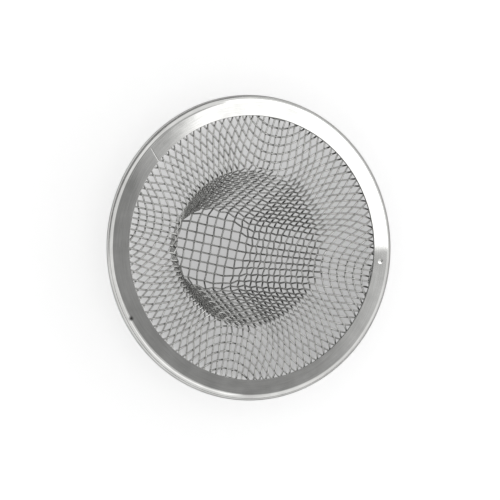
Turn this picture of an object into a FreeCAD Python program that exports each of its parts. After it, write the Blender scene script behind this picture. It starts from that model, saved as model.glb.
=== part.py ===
"""Sink strainer: a deep cup of woven steel wire, its edge pinched in a rolled sheet rim.

The origin is the centre of the rim's flat underside, +Z is up and lengths are in millimetres.
The cloth was drawn from a flat disc: its wires turned about their crossings, so every crossing of
wall and brim lies one pitch from its neighbours, and the punch stretched the floor to a wider pitch.
Every wire is a piece of its own.
"""
import FreeCAD
import Part
import Sketcher
import math
import os
from FreeCAD import Vector

doc = FreeCAD.newDocument("sink_strainer")

# Driving dimensions in millimetres, the angle in degrees. A text value is a formula of the sheet.
DIMENSIONS = (
    ("rim_diameter", 70.0, "outside of the rolled rim"),
    ("rim_height", 3.0, "rolled rim from its underside to its top"),
    ("rim_band_width", 4.8, "rim from its inner edge to its outside, seen from above"),
    ("rim_sheet", 0.5, "thickness of the rim's sheet"),
    ("rim_edge_round", 0.2, "rounding of the top band's inner edge"),
    ("rim_hem_width", 3.8, "rolled hem from the turned-up leg to the rim's outside"),
    ("rim_leg_bend", 0.8, "outside radius of the bend between underside and leg"),
    ("rim_cloth_gap", 1.25, "height between top band and leg, which pinch the cloth"),
    ("cup_depth", 30.0, "cloth from the rim down to the cup's floor"),
    ("cup_floor_radius", 9.2, "corner between floor and wall"),
    ("cup_mouth_radius", 18.2, "corner between wall and brim"),
    ("cup_mouth_drop", 1.5, "brim from the rim down to the cup's mouth"),
    ("cup_floor_fillet", 2.5, "rounding between floor and wall"),
    ("cup_mouth_fillet", 2.4, "rounding between wall and brim"),
    ("brim_edge_fillet", 8.0, "rounding where the brim enters the rim"),
    ("wire_diameter", 0.4, "round wire of the cloth"),
    ("floor_pitch", 2.25, "wire between two crossings of the cup's floor"),
    ("wire_clearance", 0.02, "least gap between two wires at their crossing"),
    ("wire_bend_radius", 0.6, "centre line of a wire where it bends at a crossing"),
    ("wire_end_gap", 0.3, "wire ends to the start of the rolled edge"),
    ("outer_wire_gap", 1.0, "outermost wires at their middle to the circle of the wire ends"),
    ("cloth_angle", -11.5, "turn of the cloth about the cup's axis"),
    ("rim_inner_radius", "=rim_diameter / 2 - rim_band_width", "inner edge of the top band"),
    ("rim_roll_radius", "=rim_height / 2", "outside of the half round edge"),
    ("rim_roll_centre", "=rim_diameter / 2 - rim_roll_radius", "centre of the half round edge"),
    ("rim_leg_radius", "=rim_diameter / 2 - rim_hem_width", "inner face of the leg"),
    ("cloth_height", "=rim_height - rim_sheet - rim_cloth_gap / 2", "middle of the cloth in the rim"),
    ("rim_leg_top", "=cloth_height - rim_cloth_gap / 2", "end of the leg below the cloth"),
)

WIRE_ROWS = 26            # wires on each side of the axis, weft and warp alike
END_ROWS = 2              # rows laid past the outermost wire, towards which the wires end
BISECTIONS = 48           # halvings when a place or a length is found by trial
EVENING_SHARE = 0.4       # how much closer the brim's wires lie at the cloth's axes, wider at its diagonals
SPREADING_ROUNDS = 60     # rounds in which wires that touch are moved apart
SPREAD_SHARE = 0.6        # share of a missing gap that one round gives back
END_SHARE = 0.2           # least share of a pitch that a wire runs on after its last crossing
CUT_SHARE = 0.45          # most that a bend takes of the shorter run beside it
STRAIGHT_ANGLE = 0.01     # a smaller turn, in radians, is left straight


def make_sheet():
    """The spreadsheet with an alias for each dimension."""
    cells = doc.addObject("Spreadsheet::Sheet", "dimensions")
    for row, (alias, value, note) in enumerate(DIMENSIONS, start=1):
        cells.set(f"A{row}", alias)
        cells.set(f"B{row}", str(value))
        cells.setAlias(f"B{row}", alias)
        cells.set(f"C{row}", note)
    doc.recompute()
    return cells


sheet = make_sheet()
wire_radius = sheet.wire_diameter / 2
wire_end_radius = sheet.rim_roll_centre - sheet.wire_end_gap
floor_height = sheet.cloth_height - sheet.cup_depth


# The rim

def make_rim():
    """One strip of sheet: top band, half round edge, flat underside and turned-up leg, revolved."""
    body = doc.addObject("PartDesign::Body", "rim")
    body.Label = "rim"
    plane = next(item for item in body.Origin.OriginFeatures if item.Role == "XZ_Plane")
    sketch = body.newObject("Sketcher::SketchObject", "rim_section")
    sketch.AttachmentSupport = (plane, [""])
    sketch.MapMode = "FlatFace"

    thick = sheet.rim_sheet
    roll = sheet.rim_roll_radius
    bend = sheet.rim_leg_bend
    roll_x = sheet.rim_roll_centre
    leg_x = sheet.rim_leg_radius
    bend_x = leg_x + bend
    top = sheet.rim_height

    def line(x_start, y_start, x_end, y_end):
        start = Vector(x_start, y_start, 0)
        end = Vector(x_end, y_end, 0)
        return sketch.addGeometry(Part.LineSegment(start, end), False)

    def arc(x_centre, y_centre, radius, first_turn, last_turn):
        circle = Part.Circle(Vector(x_centre, y_centre, 0), Vector(0, 0, 1), radius)
        return sketch.addGeometry(Part.ArcOfCircle(circle, first_turn, last_turn), False)

    quarter = math.pi / 2
    band_top = line(sheet.rim_inner_radius, top, roll_x, top)
    roll_out = arc(roll_x, roll, roll, -quarter, quarter)
    underside = line(roll_x, 0, bend_x, 0)
    bend_out = arc(bend_x, bend, bend, 2 * quarter, 3 * quarter)
    leg_in = line(leg_x, bend, leg_x, sheet.rim_leg_top)
    leg_end = line(leg_x, sheet.rim_leg_top, leg_x + thick, sheet.rim_leg_top)
    leg_out = line(leg_x + thick, sheet.rim_leg_top, leg_x + thick, bend)
    bend_in = arc(bend_x, bend, bend - thick, 2 * quarter, 3 * quarter)
    floor_in = line(bend_x, thick, roll_x, thick)
    roll_in = arc(roll_x, roll, roll - thick, -quarter, quarter)
    band_under = line(roll_x, top - thick, sheet.rim_inner_radius, top - thick)
    band_edge = line(sheet.rim_inner_radius, top - thick, sheet.rim_inner_radius, top)

    start, end, centre = 1, 2, 3
    for level in (band_top, underside, leg_end, floor_in, band_under):
        sketch.addConstraint(Sketcher.Constraint("Horizontal", level))
    for upright in (leg_in, leg_out, band_edge):
        sketch.addConstraint(Sketcher.Constraint("Vertical", upright))
    tangents = (
        (band_top, end, roll_out, end), (underside, start, roll_out, start),
        (underside, end, bend_out, end), (leg_in, start, bend_out, start),
        (leg_out, end, bend_in, start), (floor_in, start, bend_in, end),
        (floor_in, end, roll_in, start), (band_under, start, roll_in, end),
    )
    for first, first_end, second, second_end in tangents:
        sketch.addConstraint(Sketcher.Constraint("Tangent", first, first_end, second, second_end))
    joins = (
        (leg_in, end, leg_end, start), (leg_end, end, leg_out, start),
        (band_under, end, band_edge, start), (band_edge, end, band_top, start),
        (roll_out, centre, roll_in, centre), (bend_out, centre, bend_in, centre),
    )
    for first, first_end, second, second_end in joins:
        sketch.addConstraint(Sketcher.Constraint("Coincident", first, first_end, second, second_end))
    sketch.addConstraint(Sketcher.Constraint("PointOnObject", underside, start, -1))

    def bind(kind, geometry, formula, value):
        place = sketch.addConstraint(Sketcher.Constraint(kind, *geometry, value))
        sketch.setExpression(f"Constraints[{place}]", formula)

    cells = "<<dimensions>>"
    from_axis = (-1, 1)
    bind("Radius", (roll_out,), f"{cells}.rim_roll_radius", roll)
    bind("Radius", (roll_in,), f"{cells}.rim_roll_radius - {cells}.rim_sheet", roll - thick)
    bind("Radius", (bend_out,), f"{cells}.rim_leg_bend", bend)
    bind("DistanceX", (*from_axis, roll_out, centre), f"{cells}.rim_roll_centre", roll_x)
    bind("DistanceX", (*from_axis, band_top, start), f"{cells}.rim_inner_radius", sheet.rim_inner_radius)
    bind("DistanceX", (*from_axis, leg_in, end), f"{cells}.rim_leg_radius", leg_x)
    bind("DistanceY", (*from_axis, leg_in, end), f"{cells}.rim_leg_top", sheet.rim_leg_top)

    ring = body.newObject("PartDesign::Revolution", "rim_ring")
    ring.Profile = sketch
    ring.ReferenceAxis = (sketch, ["V_Axis"])
    ring.Angle = 360
    doc.recompute()

    inner_edges = [
        f"Edge{number}" for number, edge in enumerate(ring.Shape.Edges, start=1)
        if isinstance(edge.Curve, Part.Circle)
        and math.isclose(edge.Curve.Radius, sheet.rim_inner_radius, rel_tol=1e-6)
    ]
    rounding = body.newObject("PartDesign::Fillet", "rim_edge_rounding")
    rounding.Base = (ring, inner_edges)
    rounding.setExpression("Radius", f"{cells}.rim_edge_round")
    return body


# The cup that the cloth follows: floor, wall and brim, with rounded corners

def cup_section():
    """Runs of the cup's half section from the axis out: (last radius, height, slope) functions."""
    corners = (
        (0, floor_height, 0),
        (sheet.cup_floor_radius, floor_height, sheet.cup_floor_fillet),
        (sheet.cup_mouth_radius, sheet.cloth_height - sheet.cup_mouth_drop, sheet.cup_mouth_fillet),
        (sheet.rim_inner_radius, sheet.cloth_height, sheet.brim_edge_fillet),
        (sheet.rim_diameter, sheet.cloth_height, 0),
    )

    def straight(x_start, y_start, slope):
        return lambda x: (y_start + slope * (x - x_start), slope)

    def rounded(x_centre, y_centre, radius, side):
        def height_and_slope(x):
            rise = math.sqrt(max(radius ** 2 - (x - x_centre) ** 2, 0))
            return y_centre - side * rise, side * (x - x_centre) / rise
        return height_and_slope

    runs = []
    x_from, y_from, _ = corners[0]
    for before, corner, after in zip(corners, corners[1:], corners[2:]):
        x, y, radius = corner
        angle_in = math.atan2(y - before[1], x - before[0])
        angle_out = math.atan2(after[1] - y, after[0] - x)
        side = 1 if angle_out > angle_in else -1
        cut = radius * math.tan(abs(angle_out - angle_in) / 2)
        x_bend = x - cut * math.cos(angle_in)
        y_bend = y - cut * math.sin(angle_in)
        runs.append((x_bend, straight(x_from, y_from, math.tan(angle_in))))
        x_centre = x_bend - side * radius * math.sin(angle_in)
        y_centre = y_bend + side * radius * math.cos(angle_in)
        x_from = x + cut * math.cos(angle_out)
        y_from = y + cut * math.sin(angle_out)
        runs.append((x_from, rounded(x_centre, y_centre, radius, side)))
    runs.append((math.inf, straight(x_from, y_from, math.tan(angle_out))))
    return runs


CUP_RUNS = cup_section()


def cup_at(radius):
    """Height and slope of the cup at this distance from the axis."""
    run = next(run for last, run in CUP_RUNS if radius <= last)
    return run(radius)


def from_axis(point):
    return math.hypot(point.x, point.y)


def above_cup(point):
    return point.z - cup_at(from_axis(point))[0]


def cup_normal(point):
    """Unit normal of the cup on its upper, inner side."""
    radius = from_axis(point)
    slope = cup_at(radius)[1]
    return Vector(-slope * point.x / radius, -slope * point.y / radius, 1).normalize()


# The cloth: where its wires cross

def settle(path):
    """The point of a half turn path, from below the cup to above it, that lies on the cup."""
    below = -math.pi / 2
    above = math.pi / 2
    for _ in range(BISECTIONS):
        middle = (below + above) / 2
        if above_cup(path(middle)) < 0:
            below = middle
        else:
            above = middle
    return path((below + above) / 2)


def swing_on(last, reach):
    """A path at this reach from a crossing, in the plane of the wire nearest to the axis."""
    return lambda angle: last + Vector(math.cos(angle), 0, math.sin(angle)) * reach


def swing_between(first, second, behind, arm):
    """A path one arm's length from two crossings, away from the crossing behind them both."""
    middle = (first + second) / 2
    across = (second - first).normalize()
    reach = math.sqrt(arm ** 2 - first.distanceToPoint(second) ** 2 / 4)
    ahead = middle - behind
    ahead = (ahead - across * ahead.dot(across)).normalize()
    up = across.cross(ahead)
    if up.dot(cup_normal(middle)) < 0:
        up = -up
    return lambda angle: middle + (ahead * math.cos(angle) + up * math.sin(angle)) * reach


def pitch_at(point, wall_pitch):
    """Wire between crossings: that of the floor passes into that of the wall over the corner."""
    wall_share = min(max((point.z - floor_height) / sheet.cup_floor_fillet, 0), 1)
    return sheet.floor_pitch + (wall_pitch - sheet.floor_pitch) * wall_share


def lay_first_row(wall_pitch, count):
    """Crossings of the wire nearest to the axis, from its middle out."""
    half = sheet.floor_pitch / 2
    points = [Vector(half, half, floor_height)]
    while len(points) < count:
        points.append(settle(swing_on(points[-1], pitch_at(points[-1], wall_pitch))))
    return points


def fit_pitch():
    """The pitch of wall and brim that brings the outermost wires to their place in the rim."""
    outermost = wire_end_radius - sheet.outer_wire_gap
    shortest = sheet.wire_diameter
    longest = (sheet.rim_diameter + sheet.cup_depth) / WIRE_ROWS
    for _ in range(BISECTIONS):
        middle = (shortest + longest) / 2
        if from_axis(lay_first_row(middle, WIRE_ROWS)[-1]) < outermost:
            shortest = middle
        else:
            longest = middle
    return (shortest + longest) / 2


def lay_cloth():
    """Crossings of one quarter of the cloth, counted from the axis: {(column, row): point}."""
    cloth = {}
    count = WIRE_ROWS + END_ROWS
    for column, point in enumerate(lay_first_row(pitch, count), start=1):
        cloth[column, 1] = point
        cloth[1, column] = Vector(point.y, point.x, point.z)
    for column in range(2, count + 1):
        for row in range(2, column + 1):
            first = cloth.get((column - 1, row))
            second = cloth.get((column, row - 1))
            if first is None or second is None:
                continue
            if min(from_axis(first), from_axis(second)) > sheet.rim_roll_centre:
                continue
            arm = pitch_at((first + second) / 2, pitch)
            point = settle(swing_between(first, second, cloth[column - 1, row - 1], arm))
            cloth[column, row] = point
            cloth[row, column] = Vector(point.y, point.x, point.z)
    return cloth


def even_out(point):
    """A crossing turned towards the nearest axis of the cloth, which eases the narrow diagonal cells."""
    rise_share = max((point.z - floor_height) / sheet.cup_depth, 0)
    turn = math.atan2(point.y, point.x)
    turn -= EVENING_SHARE * math.sqrt(rise_share) * math.sin(4 * turn) / 4
    radius = from_axis(point)
    return Vector(radius * math.cos(turn), radius * math.sin(turn), point.z)


pitch = fit_pitch()
CLOTH = {place: even_out(point) for place, point in lay_cloth().items()}


def quarter_of(column, row):
    return abs(column), abs(row)


def crossing(column, row):
    """A crossing of the whole cloth. Columns and rows are counted both ways from the axis: no zero."""
    point = CLOTH[quarter_of(column, row)]
    return Vector(math.copysign(point.x, column), math.copysign(point.y, row), point.z)


def next_to(number, step):
    return number + step if number + step != 0 else number + 2 * step


def weft_side(column, row):
    """1 where the weft wire lies on the inner side of the crossing, -1 where it lies outside."""
    places = sum(number if number > 0 else number + 1 for number in (column, row))
    return 1 if places % 2 == 0 else -1


# The weave: how far the two wires of each crossing stand off the cup

def offset_point(column, row, side):
    point = crossing(column, row)
    return point + cup_normal(point) * (side * STAND_OFF[quarter_of(column, row)])


def weft_point(column, row):
    return offset_point(column, row, weft_side(column, row))


def warp_point(column, row):
    return offset_point(column, row, -weft_side(column, row))


def bend_cut(before, corner, after):
    """Turn of a wire at a corner and how far from it the bend begins."""
    turn = math.pi - (before - corner).getAngle(after - corner)
    longest = CUT_SHARE * min(before.distanceToPoint(corner), after.distanceToPoint(corner))
    return turn, min(sheet.wire_bend_radius * math.tan(turn / 2), longest)


def local_runs(before, corner, after):
    """The three straight lengths of wire about a crossing, out to the middle of its spans."""
    _, cut = bend_cut(before, corner, after)
    bend_start = corner + (before - corner).normalize() * cut
    bend_end = corner + (after - corner).normalize() * cut
    points = ((before + corner) / 2, bend_start, bend_end, (corner + after) / 2)
    return list(zip(points, points[1:]))


def run_distance(first, second):
    """Least distance between two straight lengths."""
    along_first = first[1] - first[0]
    along_second = second[1] - second[0]
    apart = first[0] - second[0]
    length_first = along_first.dot(along_first)
    length_second = along_second.dot(along_second)
    mixed = along_first.dot(along_second)
    apart_first = along_first.dot(apart)
    apart_second = along_second.dot(apart)
    spread = length_first * length_second - mixed ** 2
    place = 0
    if spread > 0:
        place = min(max((mixed * apart_second - apart_first * length_second) / spread, 0), 1)
    other = min(max((mixed * place + apart_second) / length_second, 0), 1)
    place = min(max((mixed * other - apart_first) / length_first, 0), 1)
    return (apart + along_first * place - along_second * other).Length


def crossing_gap(column, row):
    """Least distance between the centre lines of the two wires at a crossing."""
    weft = local_runs(
        weft_point(next_to(column, -1), row), weft_point(column, row), weft_point(next_to(column, 1), row)
    )
    warp = local_runs(
        warp_point(column, next_to(row, -1)), warp_point(column, row), warp_point(column, next_to(row, 1))
    )
    return min(run_distance(over, under) for over in weft for under in warp)


def has_neighbours(column, row):
    return (column + 1, row) in CLOTH and (column, row + 1) in CLOTH


def spread_wires():
    """Move the wires apart, most where they cross at a slant, until each pair is clear."""
    needed = sheet.wire_diameter + sheet.wire_clearance
    whole = [place for place in CLOTH if has_neighbours(*place)]
    for _ in range(SPREADING_ROUNDS):
        missing = {place: needed - crossing_gap(*place) for place in whole}
        for (column, row), amount in missing.items():
            if amount > 0:
                STAND_OFF[column, row] += amount * SPREAD_SHARE
    return min(crossing_gap(*place) for place in whole) - sheet.wire_diameter


STAND_OFF = dict.fromkeys(CLOTH, wire_radius + sheet.wire_clearance / 2)
least_gap = spread_wires()
print(f"pitch {pitch:.3f}, {len(CLOTH)} crossings in a quarter, least gap between two wires {least_gap:.3f}")
print(f"wires stand off the cup by {min(STAND_OFF.values()):.3f} to {max(STAND_OFF.values()):.3f}")


# The wires

def end_point(inside, outside):
    """Where a wire that runs on towards its next crossing ends inside the rim."""
    near = from_axis(inside)
    far = from_axis(outside)
    run_share = min((wire_end_radius - near) / (far - near), 1)
    return inside + (outside - inside) * run_share


def weft_route(row):
    """Corners of one weft wire, from end to end."""
    last_place = wire_end_radius - END_SHARE * pitch
    columns = [
        column for column, place_row in CLOTH
        if place_row == row and from_axis(CLOTH[column, row]) < last_place and (column + 1, row) in CLOTH
    ]
    reach = max(columns)
    columns = [column for column in range(-reach, reach + 1) if column != 0]
    route = [weft_point(column, row) for column in columns]
    first = end_point(route[0], weft_point(-reach - 1, row))
    last = end_point(route[-1], weft_point(reach + 1, row))
    return [first, *route, last]


def wire_solid(route):
    """Round wire along straight runs joined by tangent arcs."""
    edges = []
    start = route[0]
    tightest = math.inf
    for before, corner, after in zip(route, route[1:], route[2:]):
        turn, cut = bend_cut(before, corner, after)
        if turn < STRAIGHT_ANGLE:
            continue
        bend_start = corner + (before - corner).normalize() * cut
        bend_end = corner + (after - corner).normalize() * cut
        radius = cut / math.tan(turn / 2)
        inward = ((bend_start + bend_end) / 2 - corner).normalize()
        bend_middle = corner + inward * (radius / math.cos(turn / 2) - radius)
        edges.append(Part.makeLine(start, bend_start))
        edges.append(Part.Arc(bend_start, bend_middle, bend_end).toShape())
        start = bend_end
        tightest = min(tightest, radius)
    edges.append(Part.makeLine(start, route[-1]))
    path = Part.Wire(edges)
    section = Part.Wire(Part.Circle(route[0], route[1] - route[0], wire_radius).toShape())
    solid = path.makePipeShell([section], True, False)
    wanted = path.Length * math.pi * wire_radius ** 2
    if not math.isclose(solid.Volume, wanted, rel_tol=1e-3):
        raise ValueError(f"wire volume {solid.Volume:.4f} instead of {wanted:.4f}")
    return solid, path.Length, tightest


def make_wires(label, solid, turn):
    """A wire and its twin half a turn away, turned as a pair about the cup's axis."""
    pair = []
    for half_turn in (0, 180):
        copy = solid.copy()
        copy.rotate(Vector(0, 0, 0), Vector(0, 0, 1), half_turn)
        pair.append(copy)
    wires = doc.addObject("Part::Feature", label)
    wires.Label = label
    wires.Shape = Part.makeCompound(pair)
    wires.Placement = FreeCAD.Placement(
        Vector(0, 0, 0), FreeCAD.Rotation(Vector(0, 0, 1), sheet.cloth_angle + turn)
    )
    return wires


def make_cloth():
    """Weft wires and, a quarter turn about the axis, the warp wires of the same form."""
    pieces = []
    for row in range(1, WIRE_ROWS + 1):
        solid, length, tightest = wire_solid(weft_route(row))
        print(f"wire {row}: {length:.1f} long, tightest bend {tightest:.2f}")
        for name, turn in (("weft", 0), ("warp", 90)):
            pieces.append(make_wires(f"{name}_wires_{row:02d}", solid, turn))
    return pieces


pieces = [make_rim(), *make_cloth()]
doc.recompute()

for item in doc.Objects:
    if "Invalid" in item.State or "Error" in item.State:
        raise RuntimeError(f"{item.Label} failed: {item.State}")
os.makedirs("parts", exist_ok=True)
for piece in pieces:
    if piece.Shape.isNull() or not piece.Shape.isValid():
        raise RuntimeError(f"{piece.Label} has no valid shape")
    piece.Shape.exportStep(f"parts/{piece.Label}.step")
print(f"{len(pieces)} nodes, {sum(len(piece.Shape.Solids) for piece in pieces)} solids")
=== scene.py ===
# %% [markdown]
# # Sink strainer
# A deep cup of woven stainless wire, its edge pinched in a rolled rim of stainless sheet. It stands on its
# cup on a white table and is seen from above, a little from the left. The wires come from the CAD frame as
# they are, because each one already has its weave and its bends. This script gives them their steel, makes a
# finer rim in place of the frame's own, and adds the table, the camera and the light.

# %% Load the frame
import math

import bmesh
import bpy
from mathutils import Matrix, Vector


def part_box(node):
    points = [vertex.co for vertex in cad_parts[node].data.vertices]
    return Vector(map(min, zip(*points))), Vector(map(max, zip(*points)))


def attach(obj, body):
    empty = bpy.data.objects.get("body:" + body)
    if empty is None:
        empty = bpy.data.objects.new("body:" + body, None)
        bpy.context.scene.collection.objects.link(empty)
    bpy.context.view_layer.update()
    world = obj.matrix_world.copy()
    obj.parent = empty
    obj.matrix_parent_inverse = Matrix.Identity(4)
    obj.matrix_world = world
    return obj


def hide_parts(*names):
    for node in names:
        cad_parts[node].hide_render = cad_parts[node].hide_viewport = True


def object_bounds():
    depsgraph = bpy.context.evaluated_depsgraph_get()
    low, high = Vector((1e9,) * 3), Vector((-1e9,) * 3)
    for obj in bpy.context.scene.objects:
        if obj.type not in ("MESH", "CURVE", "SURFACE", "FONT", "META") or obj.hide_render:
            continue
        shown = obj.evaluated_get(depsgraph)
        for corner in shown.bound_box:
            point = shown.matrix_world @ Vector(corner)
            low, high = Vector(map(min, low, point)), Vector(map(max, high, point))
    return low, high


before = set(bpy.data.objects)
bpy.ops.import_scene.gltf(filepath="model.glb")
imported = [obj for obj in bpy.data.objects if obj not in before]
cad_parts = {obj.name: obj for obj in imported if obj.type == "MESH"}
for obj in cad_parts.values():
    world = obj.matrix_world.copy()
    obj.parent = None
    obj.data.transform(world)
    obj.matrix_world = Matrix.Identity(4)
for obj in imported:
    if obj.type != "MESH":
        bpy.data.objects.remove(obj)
cad_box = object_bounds()
MM = 0.001
print("nodes:", len(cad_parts), "box in mm:", [[round(x / MM, 2) for x in corner] for corner in cad_box])

# %% [markdown]
# ## Helpers
# A colour picked from a screen is sRGB, and a shader works in linear light, so one function converts it.
# Every material is a small graph of nodes, and one function adds a node with its settings and its links. A
# colour ramp turns a pattern into colours. Its stops are set by a function too, because four graphs have one.

# %% Helpers


def linear(hex_colour):
    """An sRGB hex colour as linear red, green, blue and alpha."""
    shares = [int(hex_colour[place:place + 2], 16) / 255 for place in (1, 3, 5)]
    return [s / 12.92 if s <= 0.04045 else ((s + 0.055) / 1.055) ** 2.4 for s in shares] + [1.0]


def add(tree, kind, inputs=None, **settings):
    """Adds a node to a tree. An input is a plain value, or the output of another node to link to it."""
    made = tree.nodes.new(kind)
    for name, value in settings.items():
        setattr(made, name, value)
    for socket, value in (inputs or {}).items():
        if isinstance(value, bpy.types.NodeSocket):
            tree.links.new(value, made.inputs[socket])
        else:
            made.inputs[socket].default_value = value
    return made


def empty_tree(owner):
    """The node tree of a material or world, cleared, with its output node."""
    owner.use_nodes = True
    owner.node_tree.nodes.clear()
    kind = "ShaderNodeOutputWorld" if isinstance(owner, bpy.types.World) else "ShaderNodeOutputMaterial"
    return owner.node_tree, add(owner.node_tree, kind)


def set_stops(ramp, stops):
    """Gives a colour ramp its stops, each a position and a colour."""
    elements = ramp.color_ramp.elements
    while len(elements) < len(stops):
        elements.new(1.0)
    for element, (position, colour) in zip(elements, stops):
        element.position = position
        element.color = linear(colour)


MIDDLE_GREY = "#808080"
print("a screen's middle grey in linear light:", round(linear(MIDDLE_GREY)[0], 3))

# %% [markdown]
# ## Marks of use
# A used strainer has a speck of dirt here and a dent there. Each could be painted in a picture, but a picture
# has to be fitted to the mesh. A mark is round, so here it comes from the distance to one place: a colour
# mixed in by it makes a speck, and a bump that follows it makes a dent.

# %% Round mark
DIRT = "#1E1D1B"


def mark(tree, place, spot):
    """A round mark: 1 at its place, falling to 0 at its radius. The spot is x, y, z and radius in mm."""
    middle = [x * MM for x in spot[:3]]
    away = add(tree, "ShaderNodeVectorMath", {0: place, 1: middle}, operation="DISTANCE").outputs["Value"]
    return add(tree, "ShaderNodeMapRange", {
        "Value": away, "From Min": 0.0, "From Max": spot[3] * MM, "To Min": 1.0, "To Max": 0.0},
        interpolation_type="SMOOTHSTEP").outputs["Result"]


print("dirt in linear light:", [round(share, 4) for share in linear(DIRT)[:3]])

# %% [markdown]
# ## Drawn stainless wire
# The cloth is woven from bright stainless wire that was pulled through a die, so it is smooth along its
# length and a little duller where the drawing soap and the loom rubbed it. To the eye that is a clean grey
# metal with small changes of tone from one stretch to the next. The patterns use object coordinates: the
# frame's nodes sit at the origin in metres, so one noise runs over all wires without a seam. One speck of
# dirt sits on the wall of the cup, as in the photo.

# %% Wire material
NOISE_SPAN = (0.3, 0.7)          # most values of a noise lie between these
WIRE_TONE_MM = 5.0               # length over which a wire's tone changes
WIRE_RUB_MM = 0.45               # size of the rubbed spots
WIRE_STOPS = ((0.35, "#A2A2A0"), (0.68, "#B4B4B2"))
WIRE_ROUGHNESS = (0.14, 0.24)    # least and most rubbed
WIRE_EDGE_TINT = "#808080"       # dims what the steel mirrors at a low angle
WIRE_SPECK = (10.0, -9.4, -13.9, 1.1)    # place and radius, in mm


def drawn_stainless_wire():
    material = bpy.data.materials.new("drawn_stainless_wire")
    tree, output = empty_tree(material)
    place = add(tree, "ShaderNodeTexCoord").outputs["Object"]
    tone = add(tree, "ShaderNodeTexNoise", {"Vector": place, "Scale": 1 / (WIRE_TONE_MM * MM), "Detail": 3.0})
    rub = add(tree, "ShaderNodeTexNoise", {"Vector": place, "Scale": 1 / (WIRE_RUB_MM * MM), "Detail": 2.0})
    colour = add(tree, "ShaderNodeValToRGB", {"Fac": tone.outputs["Fac"]})
    set_stops(colour, WIRE_STOPS)
    roughness = add(tree, "ShaderNodeMapRange", {
        "Value": rub.outputs["Fac"], "From Min": NOISE_SPAN[0], "From Max": NOISE_SPAN[1],
        "To Min": WIRE_ROUGHNESS[0], "To Max": WIRE_ROUGHNESS[1]})
    speck = add(tree, "ShaderNodeMix", {
        "Factor": mark(tree, place, WIRE_SPECK), "A": colour.outputs["Color"], "B": linear(DIRT)},
        data_type="RGBA")
    steel = add(tree, "ShaderNodeBsdfPrincipled", {
        "Base Color": speck.outputs["Result"], "Metallic": 1.0, "Roughness": roughness.outputs["Result"],
        "Specular Tint": linear(WIRE_EDGE_TINT)})
    tree.links.new(steel.outputs["BSDF"], output.inputs["Surface"])
    return material


wire_steel = drawn_stainless_wire()
wires = [node for name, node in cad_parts.items() if name != "rim"]
for wire in wires:
    wire.data.materials.clear()
    wire.data.materials.append(wire_steel)
wire_faces = sum(len(wire.data.polygons) for wire in wires)
print("wires with", wire_steel.name, "on", len(wires), "nodes with", wire_faces, "faces")

# %% [markdown]
# ## The rim's section
# The rim is one strip of sheet: a flat band on top, a half round outer edge, a flat underside and a leg that
# is turned up against the cloth. The frame's rim has this section too, with few facets. Here it is drawn
# again in fine steps, so that the long reflections on it stay smooth. Its radius and height are read from the
# frame's rim, and only the sizes inside the section are written down.

# %% Rim section
RIM_BAND = 4.8           # inner edge to outside, in mm as the next sizes
RIM_SHEET = 0.5
RIM_HEM = 3.8            # leg to outside
RIM_LEG_BEND = 0.8
RIM_EDGE_ROUND = 0.08
RIM_CLOTH_GAP = 1.25     # band to the top of the leg
BAND_SHARES = (0.99, 0.5, 0.01)  # points along the flat of the band, from the roll inwards
EDGE_STEPS = 5
BEND_STEPS = (5, 6)      # inside and outside of the leg's bend
ROLL_STEPS = (16, 28)    # inside and outside of the roll

rim_low, rim_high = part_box("rim")
RIM_RADIUS = rim_high.x / MM
RIM_HEIGHT = (rim_high.z - rim_low.z) / MM


def arc(x_centre, z_centre, radius, first_degrees, last_degrees, steps):
    """Points on an arc of the section, from one angle to another."""
    swing = last_degrees - first_degrees
    turns = [math.radians(first_degrees + swing * k / steps) for k in range(steps + 1)]
    return [(x_centre + radius * math.cos(t), z_centre + radius * math.sin(t)) for t in turns]


def rim_section():
    """The strip's closed outline as (distance from the axis, height), from the band's outer end inwards."""
    roll = RIM_HEIGHT / 2
    roll_x = RIM_RADIUS - roll
    edge = RIM_EDGE_ROUND
    edge_x = RIM_RADIUS - RIM_BAND + edge
    leg = RIM_RADIUS - RIM_HEM
    bend = RIM_LEG_BEND
    under = RIM_HEIGHT - RIM_SHEET
    leg_top = under - RIM_CLOTH_GAP
    points = [(edge_x + (roll_x - edge_x) * share, RIM_HEIGHT) for share in BAND_SHARES]
    points += arc(edge_x, RIM_HEIGHT - edge, edge, 90, 180, EDGE_STEPS)
    points += arc(edge_x, under + edge, edge, 180, 270, EDGE_STEPS)
    points += [(roll_x, under)]
    points += arc(roll_x, roll, roll - RIM_SHEET, 90, -90, ROLL_STEPS[0])[1:]
    points += arc(leg + bend, bend, bend - RIM_SHEET, 270, 180, BEND_STEPS[0])
    points += [(leg + RIM_SHEET, leg_top), (leg, leg_top)]
    points += arc(leg + bend, bend, bend, 180, 270, BEND_STEPS[1])
    points += arc(roll_x, roll, roll, -90, 90, ROLL_STEPS[1])
    return points


section = rim_section()
print("rim section:", len(section), "points, radius", round(RIM_RADIUS, 2), "height", round(RIM_HEIGHT, 2))

# %% [markdown]
# ## The strip's joint
# The strip's two ends meet in a hairline joint, which close steps of a lathe press into the band as a very
# shallow groove. A Screw modifier could turn the section too, but its steps are all alike, so the steps are
# worked out here one by one.

# %% Lathe steps
RIM_STEPS = 360
JOINT_DEGREES = 139.0    # where the strip's ends meet, anticlockwise from +X
JOINT_WIDTH = 0.36       # in mm, as the depth
JOINT_DEPTH = 0.003
JOINT_STEPS = 5          # close steps on each side of the joint
JOINT_STEP_SHARE = 0.25  # one of them, as a share of half the joint's width


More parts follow.
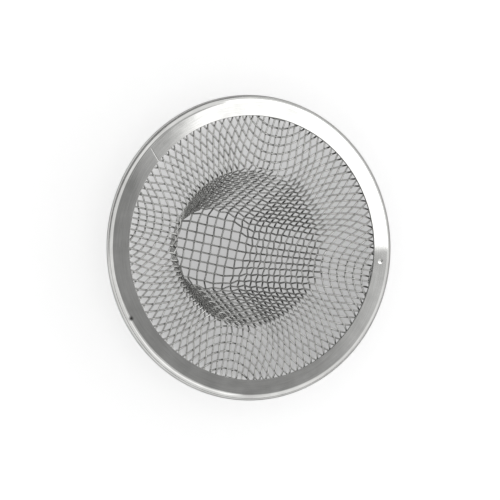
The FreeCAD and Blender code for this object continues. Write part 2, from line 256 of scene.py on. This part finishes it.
def lathe_steps(joint, half_width):
    """Angle and pressed depth of the lathe's steps: a shallow groove of close steps, then even ones."""
    groove = []
    for number in range(-JOINT_STEPS, JOINT_STEPS + 1):
        share = number * JOINT_STEP_SHARE
        out = min(abs(share), 1.0)
        groove.append((joint + share * half_width, JOINT_DEPTH * (1 + math.cos(math.pi * out)) / 2))
    return groove + [(joint + 2 * math.pi * k / RIM_STEPS, 0.0) for k in range(1, RIM_STEPS)]


band_middle = RIM_RADIUS - RIM_BAND / 2
rim_steps = lathe_steps(math.radians(JOINT_DEGREES), JOINT_WIDTH / 2 / band_middle)
print("lathe:", len(rim_steps), "steps, the joint at", JOINT_DEGREES, "degrees")

# %% [markdown]
# ## The rolled rim
# Each step of the lathe is one ring of points, and faces join it to the next. The joint isn't quite square to
# the strip, so every ring is drawn aslant by the same small angle, which leaves the round form as it is. The
# faces of the sheared inner edge are told apart, for a steel of their own.

# %% Rim mesh
JOINT_SLANT_DEGREES = -18.0
SHARP_DEGREES = 40.0     # corners sharper than this aren't smoothed


def mesh_object(name, mesh):
    """A mesh that was just built, as an object of the scene."""
    data = bpy.data.meshes.new(name)
    mesh.to_mesh(data)
    mesh.free()
    made = bpy.data.objects.new(name, data)
    bpy.context.scene.collection.objects.link(made)
    return made


def make_rim():
    slant = math.tan(math.radians(JOINT_SLANT_DEGREES))
    edge_radius = RIM_RADIUS - RIM_BAND + RIM_EDGE_ROUND
    mesh = bmesh.new()
    rings = []
    for turn, pressed in rim_steps:
        ring = []
        for radius, height in section:
            angle = turn + slant * (radius - band_middle) / band_middle
            down = pressed if height > RIM_HEIGHT / 2 else 0.0
            place = Vector((radius * math.cos(angle), radius * math.sin(angle), height - down))
            ring.append(mesh.verts.new(place * MM))
        rings.append(ring)
    for ring, following in zip(rings, rings[1:] + rings[:1]):
        for k in range(len(section)):
            after = (k + 1) % len(section)
            face = mesh.faces.new((ring[k], ring[after], following[after], following[k]))
            face.material_index = 1 if max(section[k][0], section[after][0]) <= edge_radius else 0
    bmesh.ops.recalc_face_normals(mesh, faces=mesh.faces)
    made = mesh_object("rolled_rim", mesh)
    made.data.set_sharp_from_angle(angle=math.radians(SHARP_DEGREES))
    return made


rim = make_rim()
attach(rim, "root")
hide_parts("rim")
print("rim:", len(rim.data.polygons), "faces")

# %% [markdown]
# ## Rolled stainless sheet
# The strip was rolled bright and then run round its own axis through the forming rollers, which leaves fine
# scratches along the ring. They spread a reflection across the ring and keep it sharp along the ring, so
# the shader's anisotropy follows a tangent that runs round the Z axis. Real scratches are a few hundredths
# of a millimetre wide: the ones here are drawn coarser, so that they show. A picture of scratches would have
# to be bent round the ring. A noise in ring coordinates, the distance from the axis and the angle round it,
# needs no picture. Its one seam, where the angle starts anew at -X, is too faint to show.

# %% Ring coordinates
SCRATCH_MM = 0.22        # across a scratch
SCRATCH_TURN = 0.16      # length of a scratch, in radians round the ring


def along_ring(tree, place):
    """Coordinates in which a scratch is one unit wide in X and Z and one unit long in Y."""
    parts = add(tree, "ShaderNodeSeparateXYZ", {"Vector": place}).outputs
    flat = add(tree, "ShaderNodeCombineXYZ", {"X": parts["X"], "Y": parts["Y"]}).outputs["Vector"]
    across = add(tree, "ShaderNodeVectorMath", {0: flat}, operation="LENGTH").outputs["Value"]
    turn = add(tree, "ShaderNodeMath", {0: parts["Y"], 1: parts["X"]}, operation="ARCTAN2").outputs["Value"]
    sizes = {"X": (across, SCRATCH_MM * MM), "Y": (turn, SCRATCH_TURN), "Z": (parts["Z"], SCRATCH_MM * MM)}
    units = {}
    for axis, (value, size) in sizes.items():
        scaled = add(tree, "ShaderNodeMath", {0: value, 1: 1 / size}, operation="MULTIPLY")
        units[axis] = scaled.outputs["Value"]
    return add(tree, "ShaderNodeCombineXYZ", units).outputs["Vector"]


print("a scratch is about", round(SCRATCH_TURN * RIM_RADIUS, 1), "mm long at the outside")

# %% [markdown]
# ## Steel of the band and the roll
# Handling has left the bright sheet with soft duller patches, and these and the scratches together give its
# tone. The photo also shows a small dent at the right, which is a bump here, and a dark speck at the lower
# left, which is a colour.

# %% Rim material
HAZE_MM = 6.0            # size of the duller patches
HAZE_SHARE = 0.65        # of the tone, beside the scratches
SHEET_STOPS = ((0.36, "#BEBEBC"), (0.64, "#D4D4D2"))
SHEET_ROUGHNESS = (0.035, 0.06)  # bright and dull
SHEET_ANISOTROPY = 0.3
SHEET_EDGE_TINT = "#404040"      # as for the wires
SCRATCH_STRENGTH = 0.03
SCRATCH_DEPTH = 0.02     # in mm, as the next depth
DENT_DEPTH = 0.1
DENT = (31.8, -3.1, 3.0, 0.65)   # place and radius, in mm
SPECK = (-29.8, -15.9, 3.0, 0.8)


def rolled_stainless_sheet():
    material = bpy.data.materials.new("rolled_stainless_sheet")
    tree, output = empty_tree(material)
    place = add(tree, "ShaderNodeTexCoord").outputs["Object"]
    ring_place = along_ring(tree, place)
    scratch = add(tree, "ShaderNodeTexNoise", {"Vector": ring_place, "Scale": 1.0, "Detail": 3.0})
    haze = add(tree, "ShaderNodeTexNoise", {"Vector": place, "Scale": 1 / (HAZE_MM * MM), "Detail": 3.0})
    worn = add(tree, "ShaderNodeMix", {
        "Factor": HAZE_SHARE, "A": scratch.outputs["Fac"], "B": haze.outputs["Fac"]})
    colour = add(tree, "ShaderNodeValToRGB", {"Fac": worn.outputs["Result"]})
    set_stops(colour, SHEET_STOPS)
    roughness = add(tree, "ShaderNodeMapRange", {
        "Value": haze.outputs["Fac"], "From Min": NOISE_SPAN[0], "From Max": NOISE_SPAN[1],
        "To Min": SHEET_ROUGHNESS[0], "To Max": SHEET_ROUGHNESS[1]})
    speck = add(tree, "ShaderNodeMix", {
        "Factor": mark(tree, place, SPECK), "A": colour.outputs["Color"], "B": linear(DIRT)},
        data_type="RGBA")
    bump = add(tree, "ShaderNodeBump", {
        "Height": scratch.outputs["Fac"], "Strength": SCRATCH_STRENGTH, "Distance": SCRATCH_DEPTH * MM})
    dent = add(tree, "ShaderNodeBump", {
        "Height": mark(tree, place, DENT), "Distance": -DENT_DEPTH * MM, "Normal": bump.outputs["Normal"]})
    round_axis = add(tree, "ShaderNodeTangent", direction_type="RADIAL", axis="Z")
    steel = add(tree, "ShaderNodeBsdfPrincipled", {
        "Base Color": speck.outputs["Result"], "Metallic": 1.0, "Roughness": roughness.outputs["Result"],
        "Anisotropic": SHEET_ANISOTROPY, "Normal": dent.outputs["Normal"],
        "Tangent": round_axis.outputs["Tangent"], "Specular Tint": linear(SHEET_EDGE_TINT)})
    tree.links.new(steel.outputs["BSDF"], output.inputs["Surface"])
    return material


rim.data.materials.append(rolled_stainless_sheet())
print("rim with", rim.data.materials[0].name)

# %% [markdown]
# ## Steel of the sheared edge
# The strip's inner edge was cut by a shear and never polished, so it is darker and dull. It is half a
# millimetre high and shows as a thin line, so one plain steel without a pattern is enough.

# %% Edge material
EDGE_COLOUR = "#8E8E8C"
EDGE_ROUGHNESS = 0.55


def sheared_stainless_edge():
    material = bpy.data.materials.new("sheared_stainless_edge")
    tree, output = empty_tree(material)
    steel = add(tree, "ShaderNodeBsdfPrincipled", {
        "Base Color": linear(EDGE_COLOUR), "Metallic": 1.0, "Roughness": EDGE_ROUGHNESS})
    tree.links.new(steel.outputs["BSDF"], output.inputs["Surface"])
    return material


rim.data.materials.append(sheared_stainless_edge())
edge_faces = sum(face.material_index for face in rim.data.polygons)
print("rim's edge with", rim.data.materials[1].name, "on", edge_faces, "faces")

# %% [markdown]
# ## White table paper with a painted shadow
# The table takes the strainer's shadow as a dull white surface, and a little of its own light, only for what
# the camera or a reflection sees, lifts the open table to full white. More lamps could do that as well, but
# they would also light the steel. In the photo the ground round the rim is white, and the ground behind the
# mesh is grey, lighter at the upper left. So the table has a painted shadow: a soft grey spot that glows a
# little by itself, painted lighter towards the upper left, as large as what the camera sees through the mesh.
# From below the table is clear, so that the underside can be looked at.

# %% Rays that show the table
SHOWING_RAYS = ("Is Camera Ray", "Is Glossy Ray", "Is Transmission Ray")


def showing(tree):
    """1 for the rays that show the table, and 0 for those that carry its light to other things."""
    path = add(tree, "ShaderNodeLightPath").outputs
    shows = path[SHOWING_RAYS[0]]
    for ray in SHOWING_RAYS[1:]:
        shows = add(tree, "ShaderNodeMath", {0: shows, 1: path[ray]}, operation="MAXIMUM").outputs["Value"]
    return shows


print("the table's own light is for", SHOWING_RAYS)

# %% Table material
TABLE_GLOW = 0.1
TABLE_COLOUR = "#F4F4F4"
# Painted shadow: a grey spot under the strainer, lit by its own glow, stands in for the table's shade there.
PAINTED_SHADOW_COLOUR = "#616161"
PAINTED_SHADOW_MIDDLE = (12.9, 0.3)        # in mm, as the next two
PAINTED_SHADOW_RADIUS = 31.0
PAINTED_SHADOW_FADE = 4.0
PAINTED_SHADOW_GLOW = 0.45
# Painted light on the painted shadow: it is made lighter towards the upper left.
PAINTED_SHADOW_SLOPES = (-0.0016, 0.0025, 0.0)     # glow gained per mm along X, Y and Z


def white_table_paper_with_painted_shadow():
    material = bpy.data.materials.new("white_table_paper_with_painted_shadow")
    tree, output = empty_tree(material)
    place = add(tree, "ShaderNodeTexCoord").outputs["Object"]
    # The painted shadow: a grey spot that glows by itself, lighter to the upper left, fading into the white
    # table.
    middle = (PAINTED_SHADOW_MIDDLE[0] * MM, PAINTED_SHADOW_MIDDLE[1] * MM, 0.0)
    away = add(tree, "ShaderNodeVectorMath", {0: place, 1: middle}, operation="SUBTRACT").outputs["Vector"]
    gain = [slope / MM for slope in PAINTED_SHADOW_SLOPES]
    gained = add(tree, "ShaderNodeVectorMath", {0: away, 1: gain}, operation="DOT_PRODUCT").outputs["Value"]
    painted_shadow_glow = add(tree, "ShaderNodeMath", {0: gained, 1: PAINTED_SHADOW_GLOW}, operation="ADD")
    distance = add(tree, "ShaderNodeVectorMath", {0: away}, operation="LENGTH").outputs["Value"]
    outside_painted_shadow = add(tree, "ShaderNodeMapRange", {
        "Value": distance, "From Min": PAINTED_SHADOW_RADIUS * MM, "From Max": (PAINTED_SHADOW_RADIUS + PAINTED_SHADOW_FADE) * MM,
        "To Min": 0.0, "To Max": 1.0}, interpolation_type="SMOOTHSTEP").outputs["Result"]
    glow = add(tree, "ShaderNodeMix", {
        "Factor": outside_painted_shadow, "A": painted_shadow_glow.outputs["Value"], "B": TABLE_GLOW})
    shown = add(tree, "ShaderNodeMath", {0: showing(tree), 1: glow.outputs["Result"]}, operation="MULTIPLY")
    # Grey paper in the painted shadow, white paper beyond it.
    colour = add(tree, "ShaderNodeValToRGB", {"Fac": outside_painted_shadow})
    set_stops(colour, ((0.0, PAINTED_SHADOW_COLOUR), (1.0, TABLE_COLOUR)))
    paper = add(tree, "ShaderNodeBsdfDiffuse", {"Color": colour.outputs["Color"]})
    shine = add(tree, "ShaderNodeEmission", {"Strength": shown.outputs["Value"]})
    both = add(tree, "ShaderNodeAddShader", {0: paper.outputs["BSDF"], 1: shine.outputs["Emission"]})
    side = add(tree, "ShaderNodeNewGeometry").outputs["Backfacing"]
    clear = add(tree, "ShaderNodeBsdfTransparent")
    surface = add(tree, "ShaderNodeMixShader", {0: side, 1: both.outputs["Shader"], 2: clear.outputs["BSDF"]})
    tree.links.new(surface.outputs["Shader"], output.inputs["Surface"])
    return material


table_paper = white_table_paper_with_painted_shadow()
print("table paper:", len(table_paper.node_tree.nodes), "nodes")

# %% [markdown]
# ## The table
# The table is a disc at the height of the cup's floor. It is wide, so that its far edge stays out of the
# picture from low angles too.

# %% Table
TABLE_RADIUS = 3.0       # in metres
TABLE_SEGMENTS = 96


def make_table():
    mesh = bmesh.new()
    bmesh.ops.create_circle(mesh, cap_ends=True, segments=TABLE_SEGMENTS, radius=TABLE_RADIUS)
    made = mesh_object("white_table", mesh)
    made.location.z = cad_box[0].z
    made.data.materials.append(table_paper)
    return made


table = make_table()
print("table at z =", round(table.location.z / MM, 2), "mm, normal", tuple(table.data.polygons[0].normal))

# %% [markdown]
# ## The camera
# The rim's outline in the photo is an ellipse, narrower from left to right. Its axes give the tilt: the
# camera looks down, 22 degrees from upright, from the left of the picture, and the picture's top is +Y. The
# distance comes from how much larger the near parts are, and the focal length from the rim's size. So the
# view is worked out from a few measures, where turning the camera by eye would need many tries.

# %% Camera
CAMERA_TILT_DEGREES = 22.3
CAMERA_TURN_DEGREES = 181.2      # round the strainer's axis, anticlockwise from +X
CAMERA_DISTANCE = 450.0          # in mm
CAMERA_CLIP = (0.01, 20.0)       # nearest and farthest thing shown, in metres
PIXELS_PER_MM = 4.377            # at the middle of the rim's top
PICTURE_PIXELS = 500.0
RIM_MIDDLE_PIXEL = (255.0, 247.6)
SENSOR_MM = 36.0


def make_camera():
    tilt = math.radians(CAMERA_TILT_DEGREES)
    turn = math.radians(CAMERA_TURN_DEGREES)
    back = Vector((math.sin(tilt) * math.cos(turn), math.sin(tilt) * math.sin(turn), math.cos(tilt)))
    upward = (Vector((0, 1, 0)) - back * back.y).normalized()
    right = upward.cross(back)
    data = bpy.data.cameras.new("camera")
    data.sensor_width = SENSOR_MM
    data.lens = PIXELS_PER_MM * CAMERA_DISTANCE / PICTURE_PIXELS * SENSOR_MM
    data.shift_x = (PICTURE_PIXELS / 2 - RIM_MIDDLE_PIXEL[0]) / PICTURE_PIXELS
    data.shift_y = (RIM_MIDDLE_PIXEL[1] - PICTURE_PIXELS / 2) / PICTURE_PIXELS
    data.clip_start, data.clip_end = CAMERA_CLIP
    made = bpy.data.objects.new("camera", data)
    place = Vector((0, 0, RIM_HEIGHT)) + back * CAMERA_DISTANCE
    made.matrix_world = Matrix.Translation(place * MM) @ Matrix((right, upward, back)).transposed().to_4x4()
    bpy.context.scene.collection.objects.link(made)
    bpy.context.scene.camera = made
    return made, back


camera, camera_back = make_camera()
camera_place = [round(x / MM) for x in camera.matrix_world.translation]
print("camera lens", round(camera.data.lens, 1), "mm at", camera_place)

# %% [markdown]
# ## The room
# Bright steel shows what is round it. A picture of a real room could be its world, but a ramp by height says
# in a few stops what matters: a dull ceiling overhead, bright walls, and a thin dark line at the horizon that
# outlines the roll.

# %% Room
ROOM_STRENGTH = 1.15
ROOM_STOPS = (           # from the horizon to overhead, by the height of the direction
    (0.0, "#787878"), (0.08, "#7C7C7C"), (0.16, "#F8F8F8"),
    (0.83, "#FFFFFF"), (0.9, "#D6D6D6"), (0.914, "#9C9C9C"))


def make_room():
    world = bpy.data.worlds.new("grey_room")
    bpy.context.scene.world = world
    tree, output = empty_tree(world)
    direction = add(tree, "ShaderNodeTexCoord").outputs["Generated"]
    height = add(tree, "ShaderNodeSeparateXYZ", {"Vector": direction}).outputs["Z"]
    grey = add(tree, "ShaderNodeValToRGB", {"Fac": height})
    set_stops(grey, ROOM_STOPS)
    room = add(tree, "ShaderNodeBackground", {"Color": grey.outputs["Color"], "Strength": ROOM_STRENGTH})
    tree.links.new(room.outputs["Background"], output.inputs["Surface"])
    return world


print("room:", make_room().name)

# %% [markdown]
# ## The window and its curtain
# The flat band mirrors a patch of the room above and to the right, and in the photo that patch holds a bright
# window whose corner falls on the rim: its left side, softened by a curtain, crosses the band near the top,
# and its lower side crosses it at the right. A mesh that glows could be mirrored as well, but a lamp is
# cleaner, and with its diffuse share off it is mirrored without lighting the table. The curtain is four
# narrow lamps, each weaker than the one before.

# %% Lamps that are only mirrored
LAMP_HEIGHT = 420.0      # in mm


def area_lamp(name, shape, watts):
    """An area lamp that the camera doesn't see."""
    data = bpy.data.lights.new(name, "AREA")
    data.shape = shape
    data.energy = watts
    made = bpy.data.objects.new(name, data)
    made.visible_camera = False
    bpy.context.scene.collection.objects.link(made)
    return made


def mirrored_lamp(name, low, high, radiance):
    """A level rectangle of light between two corners, in mm, that only reflections show."""
    width = (high[0] - low[0]) * MM
    depth = (high[1] - low[1]) * MM
    made = area_lamp(name, "RECTANGLE", radiance * math.pi * width * depth)
    made.data.size = width
    made.data.size_y = depth
    made.location = ((low[0] + high[0]) / 2 * MM, (low[1] + high[1]) / 2 * MM, LAMP_HEIGHT * MM)
    made.visible_diffuse = False
    return made


print("mirrored lamps hang", LAMP_HEIGHT, "mm above the rim's underside")

# %% Window and curtain
WINDOW_LOW = (141.0, 3.5)        # corners in mm
WINDOW_HIGH = (470.0, 420.0)
WINDOW_RADIANCE = 1.45
CURTAIN_FOLDS = ((136.0, 0.85), (131.0, 0.5), (125.0, 0.3), (114.0, 0.16))    # left side and radiance

lamps = [mirrored_lamp("window", WINDOW_LOW, WINDOW_HIGH, WINDOW_RADIANCE)]
fold_right = WINDOW_LOW[0]
for fold_left, fold_radiance in CURTAIN_FOLDS:
    fold_low = (fold_left, WINDOW_LOW[1])
    fold_high = (fold_right, WINDOW_HIGH[1])
    lamps.append(mirrored_lamp("curtain_fold", fold_low, fold_high, fold_radiance))
    fold_right = fold_left
print("mirrored:", [(made.name, round(made.data.size / MM)) for made in lamps])

# %% [markdown]
# ## A pale ceiling and a side window
# The roll and the round wires mirror more of the room than the flat band does. Left of the curtain they show
# a paler piece of ceiling, and towards the bottom of the picture the light of a second window. Both are weak
# lamps of the same kind.

# %% Ceiling and side window
CEILING_LOW = (0.0, 75.0)        # corners in mm
CEILING_HIGH = (fold_right, 250.0)       # as far as the last fold
CEILING_RADIANCE = 0.25
SIDE_WINDOW_LOW = (-260.0, -480.0)
SIDE_WINDOW_HIGH = (160.0, -90.0)
SIDE_WINDOW_RADIANCE = 0.45

ceiling = mirrored_lamp("pale_ceiling", CEILING_LOW, CEILING_HIGH, CEILING_RADIANCE)
side_window = mirrored_lamp("side_window", SIDE_WINDOW_LOW, SIDE_WINDOW_HIGH, SIDE_WINDOW_RADIANCE)
print("mirrored too:", [(made.name, round(made.data.energy, 3)) for made in (ceiling, side_window)])

# %% [markdown]
# ## A dark card
# White ground next to bright steel leaves the roll without an outline. As a photographer does, a card that is
# darker than the table stands beside the strainer at the upper left, outside the picture. It is arched, so
# that the outline gets thinner towards its ends. Only reflections show it.

# %% Dark card
CARD_RADIUS = 100.0      # from the strainer's axis, in mm
CARD_HEIGHT = 56.0       # in its middle
CARD_DEGREES = (62.0, 194.0)
CARD_STEPS = 33
CARD_COLOUR = "#A8A8A8"


def dark_card_paper():
    material = bpy.data.materials.new("dark_card_paper")
    tree, output = empty_tree(material)
    paper = add(tree, "ShaderNodeBsdfDiffuse", {"Color": linear(CARD_COLOUR)})
    tree.links.new(paper.outputs["BSDF"], output.inputs["Surface"])
    return material


def make_card():
    mesh = bmesh.new()
    posts = []
    for number in range(1, CARD_STEPS):
        share = number / CARD_STEPS
        turn = math.radians(CARD_DEGREES[0] + (CARD_DEGREES[1] - CARD_DEGREES[0]) * share)
        foot = Vector((CARD_RADIUS * MM * math.cos(turn), CARD_RADIUS * MM * math.sin(turn), cad_box[0].z))
        top = foot + Vector((0, 0, CARD_HEIGHT * MM * math.sin(math.pi * share)))
        posts.append((mesh.verts.new(foot), mesh.verts.new(top)))
    for post, following in zip(posts, posts[1:]):
        mesh.faces.new((post[0], following[0], following[1], post[1]))
    made = mesh_object("dark_card", mesh)
    made.data.materials.append(dark_card_paper())
    made.visible_camera = False
    made.visible_diffuse = False
    made.visible_shadow = False
    return made


card = make_card()
print("card:", len(card.data.polygons), "faces")

# %% [markdown]
# ## The table lamp
# The window is only mirrored, so beside the room's even light a last lamp lights the table and gives the
# strainer its shadow. It is wide and soft and stands on the camera's side, so that the shadow hides behind
# the strainer. Reflections don't show it.

# %% Table lamp
TABLE_LAMP_DISTANCE = 0.9        # in metres, as the size
TABLE_LAMP_SIZE = 0.5
TABLE_LAMP_WATTS = 1.5

table_lamp = area_lamp("table_lamp", "DISK", TABLE_LAMP_WATTS)
table_lamp.data.size = TABLE_LAMP_SIZE
table_lamp.rotation_mode = "QUATERNION"
table_lamp.rotation_quaternion = (-camera_back).to_track_quat("-Z", "Y")
table_lamp.location = camera_back * TABLE_LAMP_DISTANCE
table_lamp.visible_glossy = False
print("table lamp at", [round(x / MM) for x in table_lamp.location])

# %% [markdown]
# ## Finish
# The colours are shown as they come, with no film curve.

# %% Finish
bpy.context.scene.view_settings.view_transform = "Standard"
